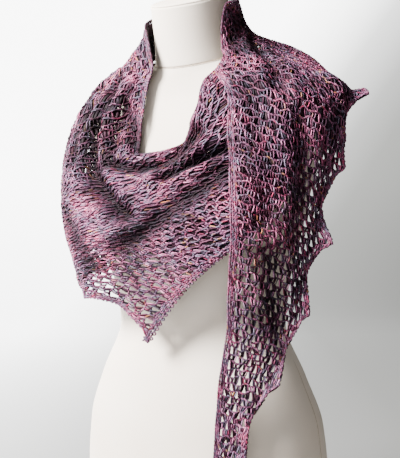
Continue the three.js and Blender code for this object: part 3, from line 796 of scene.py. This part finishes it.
def stacked(rings, per_row, sides, cap_bottom=True, cap_top=True, shift=(0, 0, 0)):
    at = smooth(np.arange(len(rings), dtype=float), full_rings(rings))
    q = np.linspace(0, len(rings) - 1, (len(rings) - 1) * per_row + 1)
    turn = np.arange(sides) * 360.0 / sides
    r = at(q)
    pts = ring_point(r[:, None, :], turn[None, :]) + np.array(shift)
    count = len(q)
    verts = pts.reshape(-1, 3).tolist()
    faces = []
    for i in range(count - 1):
        for j in range(sides):
            k = (j + 1) % sides
            a, b = i * sides, (i + 1) * sides
            faces.append([a + j, a + k, b + k, b + j])
    if cap_bottom:
        c = len(verts)
        verts.append([0 + shift[0], r[0, 0] + shift[1], r[0, 1] + shift[2]])
        faces += [[c, (j + 1) % sides, j] for j in range(sides)]
    if cap_top:
        c = len(verts)
        verts.append([0 + shift[0], r[-1, 0] + shift[1], r[-1, 1] + shift[2]])
        a = (count - 1) * sides
        faces += [[c, a + j, a + (j + 1) % sides] for j in range(sides)]
    return verts, faces


verts, faces = stacked(BODY_RINGS, 8, 144)
form_body = mesh_piece("dress_form_body", verts, faces, MATERIALS["cover"], "form_body")

LEAN = math.radians(NECK_RINGS[-1][5])
AXIS = np.array([0, -math.sin(LEAN), math.cos(LEAN)])
TOP = np.array([0, NECK_RINGS[-1][1], NECK_RINGS[-1][0]])
verts, faces = stacked(NECK_RINGS, 10, 120, shift=AXIS * NECK_GAP)
form_neck = mesh_piece("dress_form_neck", verts, faces, MATERIALS["cover"], "form_neck")


def turned(profile, sides, flatten, origin):
    """A turned piece from pairs of radius and height on the neck's axis."""
    verts, faces = [], []
    rot = np.array([[1, 0, 0], [0, math.cos(LEAN), -math.sin(LEAN)], [0, math.sin(LEAN), math.cos(LEAN)]])
    rings = []
    for r, h in profile:
        if r < 1e-6:
            rings.append([len(verts)])
            verts.append(rot @ np.array([0, 0, h]) + origin)
        else:
            rings.append(list(range(len(verts), len(verts) + sides)))
            for j in range(sides):
                a = 2 * math.pi * j / sides
                verts.append(rot @ np.array([r * math.sin(a), -r * math.cos(a) * flatten, h]) + origin)
    for lo, hi in zip(rings, rings[1:]):
        for j in range(sides):
            k = (j + 1) % sides
            if len(lo) == 1:
                faces.append([lo[0], hi[k], hi[j]])
            elif len(hi) == 1:
                faces.append([lo[j], lo[k], hi[0]])
            else:
                faces.append([lo[j], lo[k], hi[k], hi[j]])
    return verts, faces


def fine(profile, per):
    """More points on a profile, by Catmull-Rom, with the ends kept."""
    p = np.array(profile, float)
    out = []
    for i in range(len(p) - 1):
        a, b = p[max(i - 1, 0)], p[i]
        c, d = p[i + 1], p[min(i + 2, len(p) - 1)]
        for q in np.linspace(0, 1, per, endpoint=False):
            v = 0.5 * (2 * b + (c - a) * q + (2 * a - 5 * b + 4 * c - d) * q * q + (3 * b - a - 3 * c + d) * q ** 3)
            out.append((max(v[0], 0.0), v[1]))
    out.append(tuple(p[-1]))
    return out


half = NECK_RINGS[-1][2]
cap_profile = [(0, 0), (half - 0.6, 0), (half, 0.8), (half - 1.2, 2.2), (half * 0.93, 2.9), (half * 0.8, CAP_RISE * 0.75),
               (half * 0.62, CAP_RISE * 0.87), (half * 0.45, CAP_RISE * 0.95), (0, CAP_RISE)]
verts, faces = turned(cap_profile, 120, 0.965, TOP + AXIS * 2 * NECK_GAP)
form_cap = mesh_piece("dress_form_neck_cap", verts, faces, MATERIALS["cover"], "form_neck_cap")

finial_profile = [(15, 0), (16, 1.5), (15, 4), (10, 6), (7.5, 9), (8, 12), (13, 16),
                  (17, 22), (18, 28), (16, 34), (10, 39), (5, 42), (4.5, 44)]
FRONT = np.array([0, -math.cos(LEAN), -math.sin(LEAN)])
origin = TOP + AXIS * (3 * NECK_GAP + CAP_RISE) + FRONT * FINIAL_SHIFT
verts, faces = turned([(0, 0)] + fine(finial_profile, 4) + [(0, 45.5)], 64, 1.0, origin)
finial = mesh_piece("wooden_knob", verts, faces, MATERIALS["wood"], "form_finial")

# seams of the cover, in thread: round the foot of the neck, and down each side
def thread_material():
    mat, nodes, links, bsdf = new_material("seam_thread")
    coord = nodes.new("ShaderNodeTexCoord")
    n = noise(nodes, 900.0, 2.0, 0.6)
    links.new(coord.outputs["Object"], n.inputs["Vector"])
    tone = ramp(nodes, [(0.0, (0.30, 0.22, 0.15)), (0.5, (0.52, 0.42, 0.32)), (1.0, (0.66, 0.56, 0.45))])
    links.new(n.outputs["Fac"], tone.inputs["Fac"])
    links.new(tone.outputs["Color"], bsdf.inputs["Base Color"])
    bsdf.inputs["Roughness"].default_value = 0.8
    bsdf.inputs["Specular IOR Level"].default_value = 0.2
    return mat


seams = Yarn("dress_form_seams")
body_at = smooth(BODY_RINGS[:, 0], full_rings(BODY_RINGS))
turns = np.arange(0, 360.1, 1.5)
ring = ring_point(body_at(np.full_like(turns, 704.6)), turns)
centre = ring.mean(axis=0)
proud = unit(ring - centre)
stitch = 0.42 + 0.13 * np.sin(np.radians(turns) * 80)
seams.add((ring + proud * 0.25)[None], proud[None], stitch[None], np.stack([turns / 360, 0 * turns], -1)[None])
for side in (92.0, -92.0):
    z = np.arange(1.0, 640.0, 4.0)
    line = ring_point(body_at(z), np.full_like(z, side))
    ahead = ring_point(body_at(z), np.full_like(z, side + 0.5)) - ring_point(body_at(z), np.full_like(z, side - 0.5))
    rise = np.gradient(line, axis=0)
    proud = unit(np.cross(ahead, rise))
    proud *= np.sign((proud * (line - np.array([0, 0, 0]) * 1.0) * np.array([1, 1, 0])).sum(-1, keepdims=True))
    seams.add((line + proud * 0.1)[None], proud[None], np.full((1, len(z)), 0.38), np.stack([z / 640, 0 * z], -1)[None])
seam_piece = seams.make(thread_material())
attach(seam_piece, "root")

# ------------------------------------------------------------------ the shawl
for name, start, end in STRETCHES:
    build_stretch(name, start, end, MATERIALS["yarn"])

# ------------------------------------------------------------------ floor, light, camera
def sweep(flat=3.3, bend=1.8, top=3.4, sides=96):
    """A round sweep: flat floor, a quarter bend and an upright wall, open above."""
    profile = [(flat * q, 0.0) for q in (0.0, 0.3, 0.65, 1.0)]
    profile += [(flat + bend * math.sin(a), bend * (1 - math.cos(a))) for a in np.linspace(0, math.pi / 2, 17)[1:]]
    profile.append((flat + bend, top))
    verts, faces, rings = [(0, 0, 0)], [], []
    for r, z in profile[1:]:
        rings.append(range(len(verts), len(verts) + sides))
        verts += [(r * math.cos(2 * math.pi * i / sides), r * math.sin(2 * math.pi * i / sides), z) for i in range(sides)]
    for i in range(sides):
        faces.append((0, rings[0][i], rings[0][(i + 1) % sides]))
    for lo, hi in zip(rings, rings[1:]):
        for i in range(sides):
            k = (i + 1) % sides
            faces.append((lo[i], hi[i], hi[k], lo[k]))
    mesh = bpy.data.meshes.new("floor")
    mesh.from_pydata(verts, [], faces)
    mesh.polygons.foreach_set("use_smooth", [True] * len(mesh.polygons))
    mesh.materials.append(MATERIALS["floor"])
    obj = bpy.data.objects.new("floor", mesh)
    bpy.context.scene.collection.objects.link(obj)
    return obj


floor = sweep()

world = bpy.data.worlds.new("studio")
bpy.context.scene.world = world
world.use_nodes = True
wn, wl = world.node_tree.nodes, world.node_tree.links
bg = wn["Background"]
bg.inputs["Color"].default_value = (0.96, 0.93, 0.90, 1)
bg.inputs["Strength"].default_value = 0.10


def area_light(name, azimuth, elevation, distance, size, power, colour):
    data = bpy.data.lights.new(name, "AREA")
    data.shape = "DISK"
    data.size = size
    data.energy = power
    data.color = colour
    data.spread = math.radians(70)
    light = bpy.data.objects.new(name, data)
    bpy.context.scene.collection.objects.link(light)
    a, e = math.radians(azimuth), math.radians(elevation)
    target = Vector((0, 0, 0.5))
    light.location = target + Vector((math.sin(a) * math.cos(e), -math.cos(a) * math.cos(e), math.sin(e))) * distance
    light.rotation_mode = "QUATERNION"
    light.rotation_quaternion = (target - light.location).to_track_quat("-Z", "Y")
    return light


area_light("window", -36, 36, 2.4, 1.2, 82, (1.0, 0.98, 0.95))

cam_data = bpy.data.cameras.new("camera")
cam = bpy.data.objects.new("camera", cam_data)
bpy.context.scene.collection.objects.link(cam)
az, el, dist = math.radians(31.0), math.radians(0.5), 1.45
target = Vector((-0.004, 0.0, 0.457))
cam.location = target + Vector((math.sin(az) * math.cos(el), -math.cos(az) * math.cos(el), math.sin(el))) * dist
cam.rotation_mode = "QUATERNION"
cam.rotation_quaternion = (target - cam.location).to_track_quat("-Z", "Y")
cam_data.sensor_width = 36.0
cam_data.lens = 18.0 / 0.23207   # the frame's long side is its height
bpy.context.scene.camera = cam
